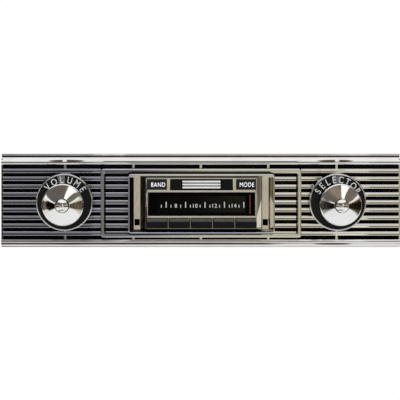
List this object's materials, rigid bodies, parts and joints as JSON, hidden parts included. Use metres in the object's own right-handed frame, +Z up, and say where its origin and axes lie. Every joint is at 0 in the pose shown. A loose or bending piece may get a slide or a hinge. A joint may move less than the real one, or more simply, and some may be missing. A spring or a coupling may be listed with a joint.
{
  "type": "car radio",
  "caption": "Chrome dash-panel car radio: ribbed trim panel, stepped bezel with tuning dial, push-buttons, two conical knobs in ring escutcheons, and a steel chassis behind.",
  "frame": {"origin": "middle of the trim panel on its rear rim, the plane that rests on the dash, at the centre of its four studs", "axes": "+X to the right as the driver sees the front, +Y back into the dash (the front faces -Y), +Z up"},
  "size_m": [0.4026, 0.1938, 0.0958],
  "materials": {
    "chrome_trim": "bright plated, black paint in the recesses",
    "chrome_knob": "bright plated, polished",
    "nose_chrome": "bright plated plastic, warm tone",
    "smoked_lens": "smoked clear plastic, polished",
    "dial_black": "matt black with light grey print",
    "light_box": "moulded, matt",
    "lamp_glass": "clear bulb in a plated cap",
    "pointer_red": "painted red-brown",
    "gloss_black": "high gloss",
    "silver_white": "satin silver white",
    "key_black": "fine satin texture",
    "ring_black": "black enamel face, bright rim, silver letters",
    "zinc_steel": "zinc plated sheet",
    "machined_steel": "turned and nickel plated",
    "spring_steel": "drawn wire",
    "sink_alloy": "black anodised extrusion",
    "can_alloy": "drawn can",
    "board_green": "solder mask",
    "nylon_white": "moulded nylon",
    "cord": "braided cord",
    "black_plastic": "moulded",
    "lead_cover": "flexible insulation",
    "choke_iron": "varnished laminations and tape"
  },
  "bodies": {
    "frame": {"trim_panel": "chrome_trim", "insert_plate": "chrome_trim", "bezel": "nose_chrome", "nose_frame": "nose_chrome", "dial_lens": "smoked_lens", "dial_plate": "dial_black", "dial_housing": "light_box", "dial_lamps": "lamp_glass", "emblem_plate": "gloss_black", "emblem_bars": "silver_white", "volume_ring": "ring_black", "selector_ring": "ring_black", "mounting_plate": "zinc_steel", "chassis_tray": "zinc_steel", "chassis_cover": "zinc_steel", "rear_panel": "zinc_steel", "rail_brackets": "zinc_steel", "control_nuts": "machined_steel", "control_washers": "machined_steel", "selector_bearing": "machined_steel", "volume_control": "machined_steel", "idler_pin": "machined_steel", "carriage_rail": "machined_steel", "standoffs": "machined_steel", "rear_stud": "machined_steel", "antenna_socket": "machined_steel", "front_screws": "machined_steel", "chassis_screws": "machined_steel", "preset_springs": "spring_steel", "heat_sink": "sink_alloy", "tuner_can": "can_alloy", "capacitors": "can_alloy", "main_board": "board_green", "preset_board": "board_green", "function_board": "board_green", "button_guide": "nylon_white", "dial_cord": "cord", "power_connector": "black_plastic", "fuse_holder": "black_plastic", "preset_switches": "black_plastic", "function_switches": "black_plastic", "output_transistors": "black_plastic", "wiring_pigtail": "lead_cover", "volume_cable": "lead_cover", "filter_choke": "choke_iron"},
    "volume_dial": {"volume_knob": "chrome_knob", "volume_shaft": "machined_steel"},
    "selector_dial": {"selector_knob": "chrome_knob", "selector_shaft": "machined_steel", "drive_drum": "nylon_white"},
    "idler": {"idler_pulley": "nylon_white"},
    "tuning_pointer": {"pointer": "pointer_red", "pointer_carriage": "nylon_white"},
    "band_key": {"band_button": "key_black"},
    "mode_key": {"mode_button": "key_black"},
    "preset_key_1": {"preset_button_1": "key_black"},
    "preset_key_2": {"preset_button_2": "key_black"},
    "preset_key_3": {"preset_button_3": "key_black"},
    "preset_key_4": {"preset_button_4": "key_black"},
    "preset_key_5": {"preset_button_5": "key_black"}
  },
  "joints": [
    {"name": "volume_turn", "type": "hinge", "parent": "frame", "child": "volume_dial", "pos_m": [-0.13685, 0, 0.001], "axis": [0, 1, 0], "range_deg": [0, 280]},
    {"name": "selector_turn", "type": "hinge", "parent": "frame", "child": "selector_dial", "pos_m": [0.13685, 0, 0.001], "axis": [0, 1, 0], "range_deg": [-860, 0]},
    {"name": "idler_turn", "type": "hinge", "parent": "frame", "child": "idler", "pos_m": [-0.075, 0, 0.001], "axis": [0, 1, 0], "range_deg": [-861, 0]},
    {"name": "pointer_slide", "type": "slide", "parent": "frame", "child": "tuning_pointer", "axis": [1, 0, 0], "range_m": [-0.0902, 0]},
    {"name": "band_press", "type": "slide", "parent": "frame", "child": "band_key", "axis": [0, 1, 0], "range_m": [0, 0.002], "stiffness_N_per_m": 600},
    {"name": "mode_press", "type": "slide", "parent": "frame", "child": "mode_key", "axis": [0, 1, 0], "range_m": [0, 0.002], "stiffness_N_per_m": 600},
    {"name": "preset_press_1", "type": "slide", "parent": "frame", "child": "preset_key_1", "axis": [0, 1, 0], "range_m": [0, 0.006], "stiffness_N_per_m": 500, "deforming": ["preset_springs"]},
    {"name": "preset_press_2", "type": "slide", "parent": "frame", "child": "preset_key_2", "axis": [0, 1, 0], "range_m": [0, 0.006], "stiffness_N_per_m": 500, "deforming": ["preset_springs"]},
    {"name": "preset_press_3", "type": "slide", "parent": "frame", "child": "preset_key_3", "axis": [0, 1, 0], "range_m": [0, 0.006], "stiffness_N_per_m": 500, "deforming": ["preset_springs"]},
    {"name": "preset_press_4", "type": "slide", "parent": "frame", "child": "preset_key_4", "axis": [0, 1, 0], "range_m": [0, 0.006], "stiffness_N_per_m": 500, "deforming": ["preset_springs"]},
    {"name": "preset_press_5", "type": "slide", "parent": "frame", "child": "preset_key_5", "axis": [0, 1, 0], "range_m": [0, 0.006], "stiffness_N_per_m": 500, "deforming": ["preset_springs"]}
  ],
  "couplings": [
    {"joint": "pointer_slide", "follows": "selector_turn", "m_per_rad": 0.006},
    {"joint": "idler_turn", "follows": "selector_turn", "ratio": 1}
  ]
}
